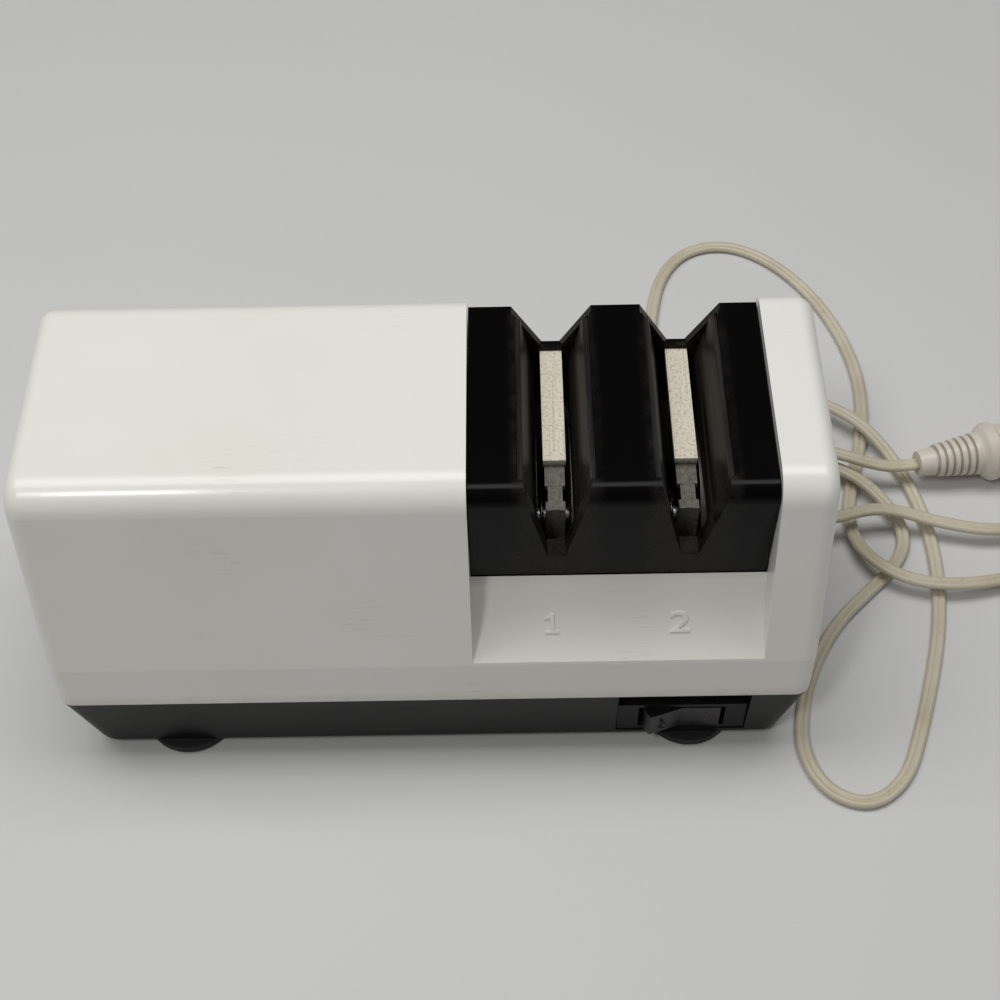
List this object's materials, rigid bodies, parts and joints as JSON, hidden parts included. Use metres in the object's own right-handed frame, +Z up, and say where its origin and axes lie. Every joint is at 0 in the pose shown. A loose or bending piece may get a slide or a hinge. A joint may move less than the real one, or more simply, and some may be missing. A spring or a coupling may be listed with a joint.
{
  "type": "electric knife sharpener",
  "caption": "Bench-top electric knife sharpener: motor hood, guide module with V notches, abrasive disks on a driven shaft, rocker switch, rubber feet and a flat mains cord.",
  "frame": {"origin": "bottom centre of the appliance's box, on the surface that it stands on, without the cord", "axes": "+Z up, +X along the length from the motor hood to the guide stages, -Y to the user's side"},
  "size_m": [0.3678, 0.2443, 0.1112],
  "materials": {
    "cover_abs": "moulded, light polish",
    "base_abs": "satin moulded",
    "module_abs": "gloss moulded",
    "plate_nylon": "satin, dusty",
    "bar_plastic": "moulded, speckled with dust",
    "magnet_ferrite": "pressed ferrite",
    "shaft_steel": "ground",
    "stack_steel": "laminated",
    "fan_plastic": "moulded",
    "abrasive_coarse": "coarse grit",
    "abrasive_fine": "fine grit",
    "spring_steel": "drawn wire",
    "coil_tape": "tape over windings",
    "bracket_zinc": "zinc plated",
    "bearing_bronze": "sintered bronze",
    "screw_steel": "zinc plated",
    "foot_rubber": "moulded",
    "switch_black": "satin moulded",
    "rocker_black": "satin moulded",
    "terminal_brass": "tinned brass",
    "cord_pvc": "extruded flexible plastic",
    "plug_pvc": "moulded flexible plastic"
  },
  "bodies": {
    "housing": {"top_cover": "cover_abs", "base_tray": "base_abs", "guide_module": "module_abs", "guide_plate_1_left": "plate_nylon", "guide_plate_1_right": "plate_nylon", "guide_plate_2_left": "plate_nylon", "guide_plate_2_right": "plate_nylon", "divider_bar_1": "bar_plastic", "divider_bar_2": "bar_plastic", "guide_magnets": "magnet_ferrite", "motor_stator": "stack_steel", "motor_coil": "coil_tape", "motor_bracket_front": "bracket_zinc", "motor_bracket_rear": "bracket_zinc", "shaft_end_bracket": "bracket_zinc", "shaft_bearings": "bearing_bronze", "motor_screws": "screw_steel", "motor_spacers": "bracket_zinc", "swarf_magnet": "magnet_ferrite", "rubber_feet": "foot_rubber", "foot_screws": "screw_steel", "cover_screws": "screw_steel", "switch_housing": "switch_black", "switch_terminals": "terminal_brass", "cord_gland": "cord_pvc", "power_cord": "cord_pvc", "plug_body": "plug_pvc", "plug_blades": "terminal_brass"},
    "shaft": {"main_shaft": "shaft_steel", "drive_pins": "shaft_steel", "rotor_core": "stack_steel", "cooling_fan": "fan_plastic", "disk_spring_1": "spring_steel", "disk_spring_2": "spring_steel"},
    "rocker": {"switch_rocker": "rocker_black"},
    "coarse_left": {"coarse_disk_left": "abrasive_coarse"},
    "coarse_right": {"coarse_disk_right": "abrasive_coarse"},
    "fine_left": {"fine_disk_left": "abrasive_fine"},
    "fine_right": {"fine_disk_right": "abrasive_fine"}
  },
  "joints": [
    {"name": "shaft_spin", "type": "hinge", "parent": "housing", "child": "shaft", "pos_m": [0, 0.006, 0.052], "axis": [1, 0, 0], "continuous": true},
    {"name": "coarse_left_slide", "type": "slide", "parent": "shaft", "child": "coarse_left", "axis": [1, 0, 0], "range_m": [0, 0.002], "stiffness_N_per_m": 400, "springref_m": -0.0005, "deforming": ["disk_spring_1"]},
    {"name": "coarse_right_slide", "type": "slide", "parent": "shaft", "child": "coarse_right", "axis": [-1, 0, 0], "range_m": [0, 0.002], "stiffness_N_per_m": 400, "springref_m": -0.0005, "deforming": ["disk_spring_1"]},
    {"name": "fine_left_slide", "type": "slide", "parent": "shaft", "child": "fine_left", "axis": [1, 0, 0], "range_m": [0, 0.002], "stiffness_N_per_m": 400, "springref_m": -0.0005, "deforming": ["disk_spring_2"]},
    {"name": "fine_right_slide", "type": "slide", "parent": "shaft", "child": "fine_right", "axis": [-1, 0, 0], "range_m": [0, 0.002], "stiffness_N_per_m": 400, "springref_m": -0.0005, "deforming": ["disk_spring_2"]},
    {"name": "switch_rock", "type": "hinge", "parent": "housing", "child": "rocker", "pos_m": [0.0764, -0.0383, 0.0133], "axis": [0, 0, -1], "range_deg": [0, 18]}
  ]
}
